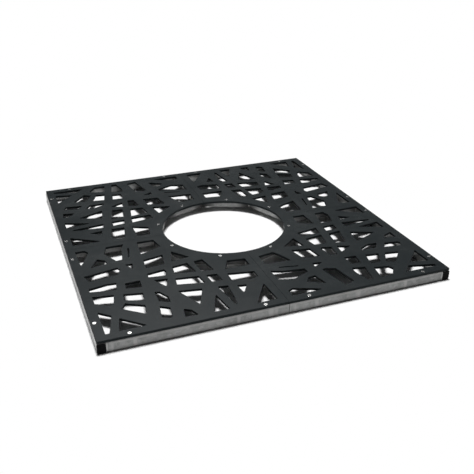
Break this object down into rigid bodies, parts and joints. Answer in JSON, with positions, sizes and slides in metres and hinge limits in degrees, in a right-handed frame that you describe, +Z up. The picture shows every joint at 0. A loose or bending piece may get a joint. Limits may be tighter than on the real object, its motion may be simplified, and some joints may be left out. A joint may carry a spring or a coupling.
{
  "type": "steel tree grate",
  "caption": "Square steel tree grate: perforated cover plates in quarters, screwed to a bolted tube frame that leaves a round trunk opening.",
  "frame": {"origin": "centre of the square grate on the plane that it rests on", "axes": "+X right along the front rail, +Y from the front rail to the back rail, +Z up"},
  "size_m": [1.2, 1.2, 0.043],
  "materials": {
    "plate_coating": "anthracite powder coat, fine texture, matt",
    "zinc": "hot-dip galvanised, dull spangle",
    "bright_steel": "stainless screw head, satin",
    "zinc_plate": "bright zinc-plated fastener",
    "plug_plastic": "black moulded polyethylene"
  },
  "bodies": {
    "frame": {"side_tube_left": "zinc", "side_tube_right": "zinc", "front_rail_left": "zinc", "front_rail_right": "zinc", "back_rail_left": "zinc", "back_rail_right": "zinc", "cross_bar_left": "zinc", "cross_bar_right": "zinc", "split_bar_front_left": "zinc", "split_bar_front_right": "zinc", "split_bar_back_left": "zinc", "split_bar_back_right": "zinc", "ring_tube_right_back": "zinc", "ring_tube_back_right": "zinc", "ring_tube_back_left": "zinc", "ring_tube_left_back": "zinc", "ring_tube_left_front": "zinc", "ring_tube_front_left": "zinc", "ring_tube_front_right": "zinc", "ring_tube_right_front": "zinc", "end_plug_front_left": "plug_plastic", "end_plug_front_right": "plug_plastic", "end_plug_back_left": "plug_plastic", "end_plug_back_right": "plug_plastic", "rivet_nuts_rim": "zinc_plate", "rivet_nuts_ring": "zinc_plate", "clamp_bolts": "zinc_plate", "clamp_nuts": "zinc_plate", "clamp_washers": "zinc_plate"},
    "cover_front_left": {"plate_front_left": "plate_coating", "screws_front_left": "bright_steel"},
    "cover_front_right": {"plate_front_right": "plate_coating", "screws_front_right": "bright_steel"},
    "cover_back_left": {"plate_back_left": "plate_coating", "screws_back_left": "bright_steel"},
    "cover_back_right": {"plate_back_right": "plate_coating", "screws_back_right": "bright_steel"}
  },
  "joints": [
    {"name": "lift_front_left", "type": "slide", "parent": "frame", "child": "cover_front_left", "axis": [0, 0, 1], "range_m": [0, 0.06]},
    {"name": "lift_front_right", "type": "slide", "parent": "frame", "child": "cover_front_right", "axis": [0, 0, 1], "range_m": [0, 0.06]},
    {"name": "lift_back_left", "type": "slide", "parent": "frame", "child": "cover_back_left", "axis": [0, 0, 1], "range_m": [0, 0.06]},
    {"name": "lift_back_right", "type": "slide", "parent": "frame", "child": "cover_back_right", "axis": [0, 0, 1], "range_m": [0, 0.06]}
  ]
}
